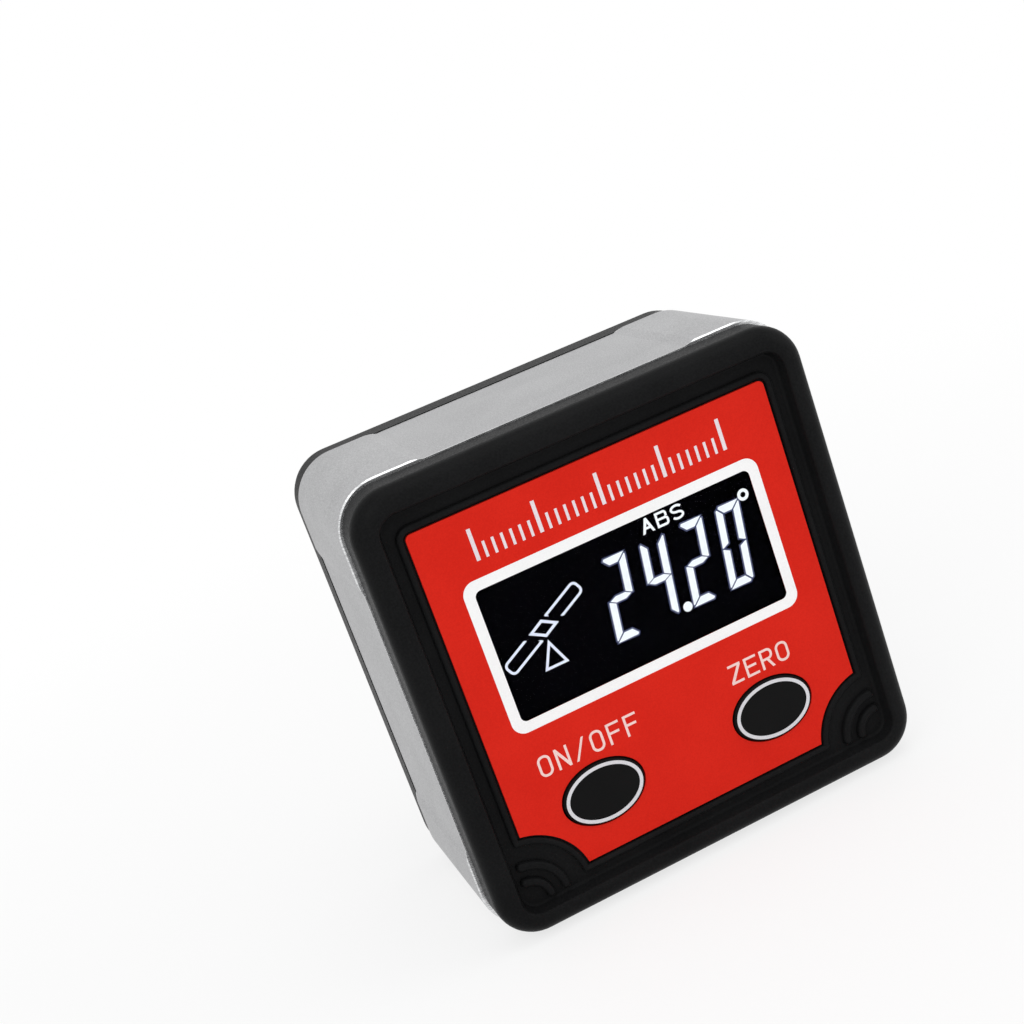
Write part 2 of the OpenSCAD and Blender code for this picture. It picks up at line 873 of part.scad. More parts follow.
module bridge_contact() {
    color("silver") {
        contact_plate(cell_z);
        contact_leaf(cell_z);
        contact_plate(-cell_z);
        contact_dimple(-cell_z);
        translate([contact_face, cell_y - tab_w / 2, body_z - cell_z]) cube([contact_t, tab_w, 2 * cell_z]);
    }
}

// The cross in a screw's head
module cross_outline() {
    square([recess_l, recess_w], center = true);
    square([recess_w, recess_l], center = true);
}

module cover_screws() {
    seat = rear_y - seat_depth;
    color("lightgray") difference() {
        union() {
            along_y(seat, seat + head_h) at_posts() circle(d = head_d);
            along_y(seat - screw_l, seat) at_posts() circle(d = screw_d);
        }
        along_y(seat + head_h - recess_depth, seat + head_h + over) at_posts() cross_outline();
    }
}

frame();
front_bezel();
front_label();
display_lens();
lcd_glass();
lcd_holder();
light_guide();
backlight_leds();
contact_strip();
main_board();
tilt_sensor();
controller_chip();
on_off_switch();
zero_switch();
on_off_plunger();
zero_plunger();
on_off_button();
zero_button();
board_screws();
rear_cover();
battery_door();
battery_upper();
battery_lower();
positive_contact();
negative_contact();
bridge_contact();
base_magnets();
cover_screws();
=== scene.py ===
# %% [markdown]
# # A digital angle gauge
# The solids of the gauge come from its CAD model, which is loaded here as a fixed frame. Everything
# that follows adds what a solid can't carry: finishes, print, and the lit figures of the display.
# Lengths are written in millimetres and turned into metres only when a piece is finished, because
# small numbers are easier to read and to check.

# %% Load the frame
import math

import bpy
from mathutils import Matrix, Vector


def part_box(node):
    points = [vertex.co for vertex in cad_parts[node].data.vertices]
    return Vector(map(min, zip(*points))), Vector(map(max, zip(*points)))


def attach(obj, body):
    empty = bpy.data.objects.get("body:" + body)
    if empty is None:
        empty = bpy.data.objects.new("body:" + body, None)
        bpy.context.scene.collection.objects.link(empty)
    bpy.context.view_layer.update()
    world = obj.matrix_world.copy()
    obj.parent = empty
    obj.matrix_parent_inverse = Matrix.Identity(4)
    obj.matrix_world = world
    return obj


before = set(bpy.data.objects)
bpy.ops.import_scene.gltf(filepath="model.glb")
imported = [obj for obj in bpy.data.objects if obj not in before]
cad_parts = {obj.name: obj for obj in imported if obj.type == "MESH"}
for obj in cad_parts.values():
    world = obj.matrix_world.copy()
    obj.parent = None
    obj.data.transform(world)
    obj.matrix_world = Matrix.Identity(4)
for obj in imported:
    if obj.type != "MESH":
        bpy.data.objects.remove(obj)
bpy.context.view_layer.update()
MM = 0.001

# %% Measure the faces that carry print
label_low, label_high = (Vector(corner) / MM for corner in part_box("front_label"))
LABEL_Z = (label_low.z + label_high.z) / 2
LABEL_FACE = label_low.y
GLASS_FACE = (Vector(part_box("lcd_glass")[0]) / MM).y
KEY_FACE = (Vector(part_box("on_off_button")[0]) / MM).y
print(f"label face {LABEL_FACE:.2f}, display face {GLASS_FACE:.2f}, key face {KEY_FACE:.2f}")
print(f"centre of the label {LABEL_Z:.2f} above the floor")

# %% [markdown]
# ## The camera
# The camera's place and turn were worked out from the corners of the label and the window and from
# the edges of the bezel. It looks down on the box from the front and the left, and it is rolled, so
# that the upright box seems to lean. Its axes are written as a matrix, because three angles would
# hide that roll.

# %% Camera
RIGHT = Vector((0.88863, -0.31993, -0.32862))
UP = Vector((0.39457, 0.16804, 0.90337))
AHEAD = Vector((0.23379, 0.93242, -0.27556))
EYE = Vector((-47.08, LABEL_FACE - 150.99, LABEL_Z + 62.48))
LENS, SENSOR = 58.24, 36
NEAREST = 5
bpy.ops.object.select_all(action="DESELECT")
bpy.ops.object.camera_add()
camera = bpy.context.object
camera.name = "view_camera"
camera.data.lens = LENS
camera.data.sensor_width = SENSOR
camera.data.clip_start = NEAREST * MM
turn = Matrix((RIGHT, UP, -AHEAD)).transposed().to_4x4()
camera.matrix_world = Matrix.Translation(EYE * MM) @ turn
bpy.context.scene.camera = camera
print("camera at", [round(value, 4) for value in camera.location])

# %% [markdown]
# ## Shader maths
# A finish is a small sum of patterns. Written with operators it stays readable, so one class wraps a
# socket and adds a Math node for each sign. Every other node comes from its one method: the type,
# then the settings, then what goes into the sockets.

# %% A socket that can be added and multiplied
# A Mix node has one set of sockets for each kind of value; these are the places of its colours.
MIX_SHARE, MIX_FIRST, MIX_SECOND, MIX_COLOUR = 0, 6, 7, 2


class Wire:
    """A socket in a material's node tree."""

    def __init__(self, tree, socket=None):
        self.tree = tree
        self.socket = socket

    def node(self, kind, settings=None, sockets=None, out=0):
        made = self.tree.nodes.new("ShaderNode" + kind)
        for name, value in (settings or {}).items():
            setattr(made, name, value)
        for name, value in (sockets or {}).items():
            if isinstance(value, Wire):
                self.tree.links.new(value.socket, made.inputs[name])
            else:
                made.inputs[name].default_value = value
        return Wire(self.tree, made.outputs[out])

    def math(self, operation, first, second=0.0):
        return self.node("Math", {"operation": operation}, {0: first, 1: second})

    def __add__(self, other):
        return self.math("ADD", self, other)

    def __radd__(self, other):
        return self.math("ADD", other, self)

    def __sub__(self, other):
        return self.math("SUBTRACT", self, other)

    def __rsub__(self, other):
        return self.math("SUBTRACT", other, self)

    def __mul__(self, other):
        return self.math("MULTIPLY", self, other)

    def __rmul__(self, other):
        return self.math("MULTIPLY", other, self)

    def __abs__(self):
        return self.math("ABSOLUTE", self)

    def over(self, low, high):
        """0 below low and 1 above high, with a soft step between."""
        return self.node("MapRange", {"interpolation_type": "SMOOTHSTEP"},
                         {"Value": self, "From Min": low, "From Max": high})

    def between(self, first, second):
        """A colour between two others; this value is the share of the second."""
        first, second = ((*colour, 1) if isinstance(colour, tuple) else colour
                         for colour in (first, second))
        return self.node("Mix", {"data_type": "RGBA"},
                         {MIX_SHARE: self, MIX_FIRST: first, MIX_SECOND: second}, out=MIX_COLOUR)


print("operators of a socket: + - * and abs")


# %% A new finish
def new_finish(name, **constants):
    """A material, its shader and its Object coordinates; constants go straight onto the shader."""
    material = bpy.data.materials.new(name)
    material.use_nodes = True
    tree = material.node_tree
    shader = tree.nodes["Principled BSDF"]
    for socket, value in constants.items():
        shader.inputs[socket.replace("_", " ")].default_value = value
    place = Wire(tree).node("TexCoord", out="Object")
    return material, shader, place


def feed(shader, **links):
    for socket, wire in links.items():
        wire.tree.links.new(wire.socket, shader.inputs[socket.replace("_", " ")])


def grain(place, size, detail=2.0, stretch=None):
    """Noise whose blots are about so many millimetres across."""
    if stretch:
        place = place.node("VectorMath", {"operation": "MULTIPLY"}, {0: place, 1: stretch})
    return place.node("TexNoise", {},
                      {"Vector": place, "Scale": 1 / (size * MM), "Detail": detail})


def bump(height, depth):
    """A surface normal; depth is in millimetres."""
    return height.node("Bump", {}, {"Height": height, "Distance": depth * MM, "Strength": 1.0})


# Noise seldom leaves this range, so a pattern is spread out over it.
NOISE = (0.3, 0.7)
print("noise is spread over", NOISE)

# %% [markdown]
# ## Moulded and printed finishes
# Most surfaces here are one colour with a grain: a mould's spark texture, the tooth of a film, the
# cast of a rubber. One function gives all of them, with the size of the grain, the two shades it
# moves between and the range of its gloss. That is less to read than a graph for each, and each
# still has its own scale.

# %% A grained finish
BROAD = 40


def grained(name, dark, light, size, rough, depth, **constants):
    """Two shades mixed by a fine grain of this size and by one that is BROAD times as large."""
    material, shader, place = new_finish(name, **constants)
    fine = grain(place, size)
    broad = grain(place, size * BROAD, 3.0)
    share = (fine * 0.6 + broad * 0.4).over(*NOISE)
    low, high = rough
    feed(shader, Base_Color=share.between(dark, light),
         Roughness=fine.over(*NOISE) * (high - low) + low, Normal=bump(fine, depth))
    return material


black_moulding = grained("black_moulding", (0.0066, 0.0067, 0.007), (0.0108, 0.011, 0.0114), 0.2,
                         (0.3, 0.44), 0.022, IOR=1.1)
red_film = grained("red_film", (0.63, 0.012, 0.004), (0.70, 0.0175, 0.007), 0.16,
                   (0.42, 0.54), 0.005, Specular_IOR_Level=0.1)
print("made", black_moulding.name, "and", red_film.name)

# %% Inks
FINE, INK_DEPTH = 0.12, 0.003
white_ink = grained("white_ink", (0.9, 0.9, 0.9), (0.96, 0.96, 0.96), FINE, (0.4, 0.5), INK_DEPTH)
pale_ink = grained("pale_ink", (0.76, 0.68, 0.71), (0.84, 0.76, 0.79), FINE,
                   (0.45, 0.55), INK_DEPTH)
pink_ink = grained("pink_ink", (0.86, 0.60, 0.56), (0.93, 0.68, 0.64), FINE,
                   (0.45, 0.55), INK_DEPTH)
ring_ink = grained("ring_ink", (0.62, 0.62, 0.65), (0.72, 0.72, 0.75), FINE, (0.4, 0.5), INK_DEPTH)
print("inks:", [ink.name for ink in (white_ink, pale_ink, pink_ink, ring_ink)])

# %% Keys, display and inner parts
key_rubber = grained("key_rubber", (0.0022, 0.0022, 0.0023), (0.0038, 0.0038, 0.004), 0.14,
                     (0.48, 0.64), 0.008, Specular_IOR_Level=0.09)
display_glass = grained("display_glass", (0.0009, 0.0008, 0.0017), (0.0013, 0.0012, 0.0023), 0.3,
                        (0.2, 0.26), 0.0005, Specular_IOR_Level=0.0)
white_moulding = grained("white_moulding", (0.76, 0.76, 0.74), (0.84, 0.84, 0.82), 0.3,
                         (0.4, 0.55), 0.01)
guide_plate = grained("guide_plate", (0.8, 0.84, 0.88), (0.9, 0.93, 0.96), 0.5,
                      (0.15, 0.3), 0.006, Transmission_Weight=0.4)
strip_rubber = grained("strip_rubber", (0.12, 0.12, 0.12), (0.2, 0.2, 0.2), 0.2, (0.55, 0.7), 0.01)
chip_package = grained("chip_package", (0.012, 0.012, 0.013), (0.02, 0.02, 0.021), 0.12,
                       (0.45, 0.6), 0.006)
print("finishes so far:", len(bpy.data.materials))

# %% [markdown]
# ## Metal finishes
# The frame is aluminium that was blasted with beads before it was anodised. Its faces sparkle
# finely, and the ends, at the front and the back, were milled afterwards: they are smoother and keep
# faint marks of the cutter. Where a face lies along the depth decides which of the two shows, so one
# material does for it all.

# %% Anodised aluminium
BEAD, CLOUD, BLADE = 0.16, 6.0, 1.0
MILLED_FROM, MILLED_TO = 0.17, 0.13


def blasted_aluminium():
    """Satin on the faces, and milled within MILLED_FROM to MILLED_TO of the frame's ends."""
    material, shader, place = new_finish("anodised_aluminium", Metallic=1.0)
    depth = place.node("SeparateXYZ", {}, {0: place}, out="Y")
    low, high = (corner[1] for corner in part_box("frame"))
    reach = (high - low) / 2
    end = abs(depth - (low + high) / 2).over(reach - MILLED_FROM * MM, reach - MILLED_TO * MM)
    beads = grain(place, BEAD, 3.0)
    cloud = grain(place, CLOUD, 3.0)
    blade = grain(place, BLADE, 2.0, (0.5, 0.5, 9.0))
    blotch = (beads * 0.85 + cloud * 0.15).over(0.35, 0.65)
    satin = blotch.between((0.355, 0.355, 0.361), (0.51, 0.512, 0.518))
    milled = blade.over(*NOISE).between((0.5, 0.505, 0.51), (0.86, 0.865, 0.875))
    feed(shader, Base_Color=end.between(satin, milled), Roughness=beads * 0.2 + 0.38 - end * 0.22,
         Normal=bump(beads * (1 - end) + blade * end * 0.45, 0.013))
    return material


anodised_aluminium = blasted_aluminium()
print("made", anodised_aluminium.name)


# %% Steel, nickel and contact metal
def drawn_metal(name, colour, dark, size, stretch, rough):
    """Metal with fine lines from drawing and a few broad stains."""
    material, shader, place = new_finish(name, Metallic=1.0)
    lines = grain(place, size, 3.0, stretch)
    stain = grain(place, 2.5, 3.0)
    low, high = rough
    feed(shader, Base_Color=(lines * 0.6 + stain * 0.4).over(0.25, 0.8).between(dark, colour),
         Roughness=lines * (high - low) + low, Normal=bump(lines, 0.004))
    return material


screw_steel = drawn_metal("screw_steel", (0.6, 0.6, 0.61), (0.34, 0.34, 0.35), 0.2,
                          (1, 0.2, 1), (0.25, 0.45))
nickel_plate = drawn_metal("nickel_plate", (0.74, 0.72, 0.68), (0.58, 0.56, 0.53), 0.4,
                           (0.3, 1.6, 1), (0.12, 0.3))
contact_metal = drawn_metal("contact_metal", (0.78, 0.75, 0.66), (0.6, 0.57, 0.5), 0.25,
                            (1, 1, 0.15), (0.2, 0.36))
print("drawn metals:", [metal.name for metal in (screw_steel, nickel_plate, contact_metal)])

# %% [markdown]
# ## Board and cells
# The board is green with faint tracks, and each cell wears a dark wrap with a copper band. Both only
# show when the battery door is open or the model is taken apart, so a pattern on the surface is
# enough, and no track or wrap is modelled.

# %% Printed board
TRACKS, TRACK_WIDTH = 420.0, 0.018


def printed_board():
    material, shader, place = new_finish("printed_board", Specular_IOR_Level=0.5)
    flat = place.node("VectorRotate", {"rotation_type": "X_AXIS"},
                      {"Vector": place, "Angle": math.pi / 2})
    tracks = place.node("TexBrick", {"offset": 0.35},
                        {"Vector": flat, "Scale": TRACKS, "Mortar Size": TRACK_WIDTH,
                         "Mortar Smooth": 0.2}, out="Fac")
    mask = grain(place, 0.3)
    green = mask.over(*NOISE).between((0.006, 0.075, 0.028), (0.01, 0.1, 0.038))
    feed(shader, Base_Color=tracks.between(green, (0.03, 0.2, 0.075)),
         Roughness=mask * 0.2 + 0.25, Normal=bump(tracks, 0.02))
    return material


circuit_board = printed_board()
print("made", circuit_board.name)

# %% Cell wrap
BAND_AT, BARE_AT, BLEND = 10.0, 20.95, 0.05


def cell_wrap():
    """A dark wrap with a copper band at the terminal's end; the two cells lie head to tail."""
    material, shader, place = new_finish("cell_wrap", Specular_IOR_Level=0.5)
    parts = {name: place.node("SeparateXYZ", {}, {0: place}, out=name) for name in "XZ"}
    upper = parts["Z"].over((LABEL_Z - 0.1) * MM, (LABEL_Z + 0.1) * MM)
    along = parts["X"] * (1 - 2 * upper)
    band = along.over((BAND_AT - BLEND) * MM, (BAND_AT + BLEND) * MM)
    bare = abs(parts["X"]).over((BARE_AT - BLEND) * MM, (BARE_AT + BLEND) * MM)
    film = grain(place, 0.8)
    wrap = band.between((0.018, 0.024, 0.034), (0.32, 0.13, 0.045))
    feed(shader, Base_Color=bare.between(wrap, (0.62, 0.61, 0.59)),
         Metallic=band * 0.6 + bare * 0.4, Roughness=film * 0.16 + 0.2, Normal=bump(film, 0.01))
    return material


cell_finish = cell_wrap()
print("made", cell_finish.name)

# %% [markdown]
# ## The clear window and the light
# The window is a thin clear pane in the label. Its surface is coated against glare, so it takes
# little light back, and the dark display behind it stays dark. A pane of plain glass would lay a
# grey veil over it. The lit segments shine by themselves, a little less at some spots than at
# others. A lamp behind each would light the inside of the box as well.


# %% Clear pane
def clear_pane():
    material, shader, place = new_finish("clear_pane", Transmission_Weight=1.0, IOR=1.03,
                                         Base_Color=(1, 1, 1, 1))
    haze = grain(place, 1.5)
    feed(shader, Roughness=haze * 0.03)
    return material


clear_lens = clear_pane()
print("made", clear_lens.name)


# %% Lit segments
def lit(name, colour):
    material, shader, place = new_finish(name, Base_Color=(0.02, 0.02, 0.02, 1), Roughness=0.4,
                                         Emission_Strength=1.0)
    spread = grain(place, 1.2)
    edge = tuple(value * 0.93 for value in colour)
    feed(shader, Emission_Color=spread.over(*NOISE).between(edge, colour))
    return material


lit_white = lit("lit_white", (0.9, 0.96, 1.0))
lit_line = lit("lit_line", (0.74, 0.8, 0.95))
lit_halo = lit("lit_halo", (0.022, 0.035, 0.12))
print("all finishes:", len(bpy.data.materials))

# %% [markdown]
# ## Dress the solids
# The solids keep their meshes. Only the material in each slot changes, and the parts that are hidden
# inside get a finish too, because the open battery door and the exported model can show them.

# %% Finishes on the CAD nodes
dress = {
    anodised_aluminium: ["frame"],
    black_moulding: ["front_bezel", "rear_cover", "battery_door"],
    red_film: ["front_label"],
    clear_lens: ["display_lens"],
    display_glass: ["lcd_glass"],
    white_moulding: ["lcd_holder", "on_off_plunger", "zero_plunger"],
    guide_plate: ["light_guide", "backlight_leds"],
    strip_rubber: ["contact_strip"],
    circuit_board: ["main_board"],
    chip_package: ["tilt_sensor", "controller_chip", "on_off_switch", "zero_switch"],
    key_rubber: ["on_off_button", "zero_button"],
    screw_steel: ["board_screws", "cover_screws"],
    cell_finish: ["battery_upper", "battery_lower"],
    contact_metal: ["positive_contact", "negative_contact", "bridge_contact"],
    nickel_plate: ["base_magnets"],
}
for finish, names in dress.items():
    for name in names:
        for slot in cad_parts[name].material_slots:
            slot.material = finish
bare_nodes = set(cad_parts) - {name for names in dress.values() for name in names}
print("dressed nodes:", sum(map(len, dress.values())), "left:", sorted(bare_nodes))

# %% [markdown]
# ## Flat shapes
# Print is drawn lying flat, as on a desk: X to the right and Y up, from the label's centre. When a
# drawing is ready it gets a thickness, stands up against its face and shrinks to metres. Drawing
# flat means that inset, bevel and bisect all work in the plane they were made for.


# %% Faces
def only(piece):
    bpy.ops.object.select_all(action="DESELECT")
    piece.select_set(True)
    bpy.context.view_layer.objects.active = piece


def polygon(corners):
    """A face with these corners, in order: a ring of as many points, each moved to its place."""
    bpy.ops.object.select_all(action="DESELECT")
    bpy.ops.mesh.primitive_circle_add(vertices=len(corners), fill_type="NGON")
    piece = bpy.context.object
    for point, corner in zip(piece.data.vertices, corners):
        point.co = (*corner, 0)
    return piece


def rectangle(x, y, w, h):
    return polygon([(x - w / 2, y - h / 2), (x + w / 2, y - h / 2),
                    (x + w / 2, y + h / 2), (x - w / 2, y + h / 2)])


def ellipse(x, y, w, h, points=96):
    turns = [2 * math.pi * i / points for i in range(points)]
    return polygon([(x + w / 2 * math.cos(a), y + h / 2 * math.sin(a)) for a in turns])


print("faces: polygon, rectangle, ellipse")

# %% Rounded corners and outlines
ROUND_STEPS = 10


def round_corners(piece, radius, chosen=None):
    """Round all corners, or those that chosen picks by their place."""
    only(piece)
    bpy.ops.object.mode_set(mode="EDIT")
    bpy.ops.mesh.select_mode(type="VERT")
    bpy.ops.mesh.select_all(action="DESELECT")
    bpy.ops.object.mode_set(mode="OBJECT")
    for point in piece.data.vertices:
        point.select = chosen is None or chosen(point.co)
    bpy.ops.object.mode_set(mode="EDIT")
    bpy.ops.mesh.bevel(offset=radius, segments=ROUND_STEPS, affect="VERTICES")
    bpy.ops.object.mode_set(mode="OBJECT")


def outline(piece, width):
    """Keep only a line of this width along the inside of the edge."""
    only(piece)
    bpy.ops.object.mode_set(mode="EDIT")
    bpy.ops.mesh.select_mode(type="FACE")
    bpy.ops.mesh.select_all(action="SELECT")
    bpy.ops.mesh.inset(thickness=width)
    bpy.ops.mesh.delete(type="FACE")
    bpy.ops.object.mode_set(mode="OBJECT")


print("a rounded corner has", ROUND_STEPS, "steps")


# %% A band between two outlines
def between_lines(outer, inner):
    """A flat band from one outline to another, bridged edge to edge."""
    bpy.ops.object.select_all(action="DESELECT")
    inner.select_set(True)
    outer.select_set(True)
    bpy.context.view_layer.objects.active = outer
    bpy.ops.object.join()
    bpy.ops.object.mode_set(mode="EDIT")
    bpy.ops.mesh.select_all(action="SELECT")
    bpy.ops.mesh.delete(type="ONLY_FACE")
    bpy.ops.mesh.select_mode(type="EDGE")
    bpy.ops.mesh.select_all(action="SELECT")
    bpy.ops.mesh.bridge_edge_loops()
    bpy.ops.object.mode_set(mode="OBJECT")
    if outer.data.polygons[0].normal.z < 0:
        bpy.ops.object.mode_set(mode="EDIT")
        bpy.ops.mesh.select_all(action="SELECT")
        bpy.ops.mesh.flip_normals()
        bpy.ops.object.mode_set(mode="OBJECT")
    return outer


print("bands: between_lines")


# %% Stand a drawing up
def corner_of(piece, pick):
    return [round(pick(point.co[axis] for point in piece.data.vertices) / MM, 2)
            for axis in range(3)]


def stand_up(name, drawings, face, thickness, finish, body):
    """Join flat drawings into one piece on the plane at this depth, and let it ride."""
    bpy.ops.object.select_all(action="DESELECT")
    for drawing in drawings:
        drawing.select_set(True)
    piece = drawings[0]
    bpy.context.view_layer.objects.active = piece
    if len(drawings) > 1:
        bpy.ops.object.join()
    piece.name = piece.data.name = name
    solid = piece.modifiers.new("thickness", "SOLIDIFY")
    solid.thickness = thickness
    solid.offset = 1
    bpy.ops.object.modifier_apply(modifier=solid.name)
    piece.rotation_euler = (math.pi / 2, 0, 0)
    piece.location = (0, face * MM, LABEL_Z * MM)
    piece.scale = (MM, MM, MM)
    bpy.ops.object.transform_apply(location=True, rotation=True, scale=True)
    piece.data.materials.clear()
    piece.data.materials.append(finish)
    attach(piece, body)
    print(name, len(piece.data.polygons), "faces from", corner_of(piece, min),
          "to", corner_of(piece, max))


print(f"drawings are centred {LABEL_Z:.2f} above the floor")

# %% [markdown]
# ## Letters
# The words on a gauge like this are set in a plain face whose letters all have the same width. Each
# letter here is drawn in a cell from straight strokes and rounded loops of one thickness. A font
# would give strokes that grow and shrink when its letters are squeezed into such cells.


# %% Strokes and loops
def pen(points, width):
    """A stroke of even width along a line of points."""
    spots = [Vector(point) for point in points]
    across = [Vector((-(b - a).y, (b - a).x)).normalized() for a, b in zip(spots, spots[1:])]
    left, right = [], []
    for i, spot in enumerate(spots):
        before, after = across[max(i - 1, 0)], across[min(i, len(across) - 1)]
        out = (before + after) / (1 + before.dot(after)) * width / 2
        left.append(tuple(spot + out))
        right.append(tuple(spot - out))
    return polygon(right + left[::-1])


def loop(x0, y0, x1, y1, radius, stroke, chosen=None):
    piece = rectangle((x0 + x1) / 2, (y0 + y1) / 2, x1 - x0, y1 - y0)
    round_corners(piece, radius, chosen)
    outline(piece, stroke)
    return piece


def cut_below(piece, height):
    only(piece)
    bpy.ops.object.mode_set(mode="EDIT")
    bpy.ops.mesh.select_all(action="SELECT")
    bpy.ops.mesh.bisect(plane_co=(0, height, 0), plane_no=(0, 1, 0), clear_inner=True)
    bpy.ops.object.mode_set(mode="OBJECT")
    return piece


print("strokes: pen, loop, cut_below")

# %% Straight letters
# Each letter takes the width and height of its cell and the thickness of its strokes.
WAIST, SHORT_BAR = 0.52, 0.9


def letter_n(w, h, t):
    d = h * 0.27
    return [polygon([(0, 0), (t, 0), (t, h - d), (w - t, 0), (w, 0),
                     (w, h), (w - t, h), (w - t, d), (t, h), (0, h)])]


def slash(w, h, t):
    return [polygon([(0, 0), (t, 0), (w, h), (w - t, h)])]


def upper_arms(w, h, t):
    """The outline that E and F share, from the foot of the middle bar to the upper left."""
    low, high, end = h * WAIST - t / 2, h * WAIST + t / 2, w * SHORT_BAR
    return [(t, low), (end, low), (end, high), (t, high), (t, h - t), (w, h - t), (w, h), (0, h)]


def letter_f(w, h, t):
    return [polygon([(0, 0), (t, 0), *upper_arms(w, h, t)])]


def letter_e(w, h, t):
    return [polygon([(0, 0), (w, 0), (w, t), (t, t), *upper_arms(w, h, t)])]


def letter_z(w, h, t):
    d = t * 1.4
    return [polygon([(0, 0), (w, 0), (w, t), (d, t), (w, h - t),
                     (w, h), (0, h), (0, h - t), (w - d, h - t), (0, t)])]


def letter_a(w, h, t):
    peak, bar, foot = t * 2.3, h * 0.26, t * 1.1
    low, high = (foot + (w / 2 - foot) * level / (h - peak) for level in (bar, bar + t))
    return [polygon([(0, 0), (foot, 0), (w / 2, h - peak), (w - foot, 0), (w, 0),
                     (w / 2 + t / 2, h), (w / 2 - t / 2, h)]),
            polygon([(low, bar), (w - low, bar), (w - high, bar + t), (high, bar + t)])]


print("straight letters: N / F E Z A")

# %% Round letters
ROUND = 0.46
S_STEPS = 24


def letter_o(w, h, t):
    return [loop(0, 0, w, h, w * ROUND, t)]


def letter_r(w, h, t):
    bowl, knee, leg = h * 0.42, w * 0.68, t * 1.15
    return [loop(0, bowl, w, h, (h - bowl) * ROUND, t, lambda spot: spot.x > w / 2),
            polygon([(0, 0), (t, 0), (t, bowl), (0, bowl)]),
            polygon([(w - leg, 0), (w, 0), (knee, bowl), (knee - leg, bowl)])]


def letter_b(w, h, t):
    m, half = h * WAIST, t / 2
    arch = loop(0, m - half, w * 0.94, h, (h - m) * ROUND, t, lambda spot: spot.x > w / 2)
    bowl = loop(0, 0, w, m + half, m * ROUND, t, lambda spot: spot.x > w / 2)
    return [bowl, cut_below(arch, m + half)]


def letter_s(w, h, t):
    rx, ry = w / 2 - t / 2, (h - t) / 4
    turns = [math.radians(25 + 245 * i / S_STEPS) for i in range(S_STEPS + 1)]
    upper = [(w / 2 + rx * math.cos(a), h - t / 2 - ry + ry * math.sin(a)) for a in turns]
    return [pen(upper + [(w - x, h - y) for x, y in upper[-2::-1]], t)]


LETTERS = {"N": letter_n, "/": slash, "F": letter_f, "E": letter_e, "Z": letter_z, "A": letter_a,
           "O": letter_o, "R": letter_r, "B": letter_b, "S": letter_s}
print("letters:", "".join(LETTERS))


# %% Words
def lettering(words, left, right, low, high, width, stroke):
    """Letters of one width, spaced evenly from left to right."""
    step = (right - left - width) / (len(words) - 1)
    pieces = []
    for i, sign in enumerate(words):
        for piece in LETTERS[sign](width, high - low, stroke):
            piece.location = (left + i * step, low, 0)
            only(piece)
            bpy.ops.object.transform_apply(location=True, rotation=True, scale=True)
            pieces.append(piece)
    return pieces


LETTER_W, LETTER_LINE = 1.48, 0.27
print("a letter over a key is", LETTER_W, "wide, its line", LETTER_LINE)

# %% [markdown]
# ## Print on the label
# A white line frames the window, and each key has its word above it. The band above the window
# carries a plain scale of ticks. Each is a thin layer of ink that stands on the film, so its edge
# stays sharp from near.

# %% Window frame and words
INK = 0.02
WINDOW = (0.0, 4.54)
border = rectangle(*WINDOW, 33.6, 17.0)
round_corners(border, 1.45)
opening = rectangle(*WINDOW, 31.3, 14.68)
round_corners(opening, 0.7)
stand_up("window_border", [between_lines(border, opening)], LABEL_FACE, INK, white_ink,
         "box")
words = lettering("ON/OFF", -15.75, -4.3, -9.25, -6.9, LETTER_W, LETTER_LINE)
words += lettering("ZERO", 6.75, 13.9, -9.2, -7.0, LETTER_W, LETTER_LINE)
stand_up("key_words", words, LABEL_FACE, INK, pink_ink, "box")

# %% Scale of ticks
TICKS, LONG_EVERY, TICK_FOOT = 14, 7, 14.7
LONG_TICK, SHORT_TICK = (0.42, 3.4), (0.3, 1.7)
ticks = []
for step in range(-TICKS, TICKS + 1):
    wide, tall = SHORT_TICK if step % LONG_EVERY else LONG_TICK
    ticks.append(rectangle(step, TICK_FOOT + tall / 2, wide, tall))
stand_up("tick_scale", ticks, LABEL_FACE, INK, pale_ink, "box")

# %% Rings on the keys
KEY_X, KEY_Y = 10.15, -13.5
RING_W, RING_H, RING_LINE = 8.72, 6.2, 0.38
for name, body, side in (("on_off_ring", "on_off_key", -1), ("zero_ring", "zero_key", 1)):
    ring = ellipse(side * KEY_X, KEY_Y, RING_W, RING_H)
    outline(ring, RING_LINE)
    stand_up(name, [ring], KEY_FACE, INK, ring_ink, body)

# %% [markdown]
# ## The lit figures
# The display is a dark glass whose segments let the light through. A figure is drawn upright from
# seven bars with mitred ends, then slanted as a whole, so that the gaps stay even. A thin halo of
# blue lies under each bar, because the light spreads a little in the glass.

# %% Bars of a figure
FIGURE_W, FIGURE_H, BAR, GAP = 2.75, 8.88, 0.82, 0.08
TIP = 0.28


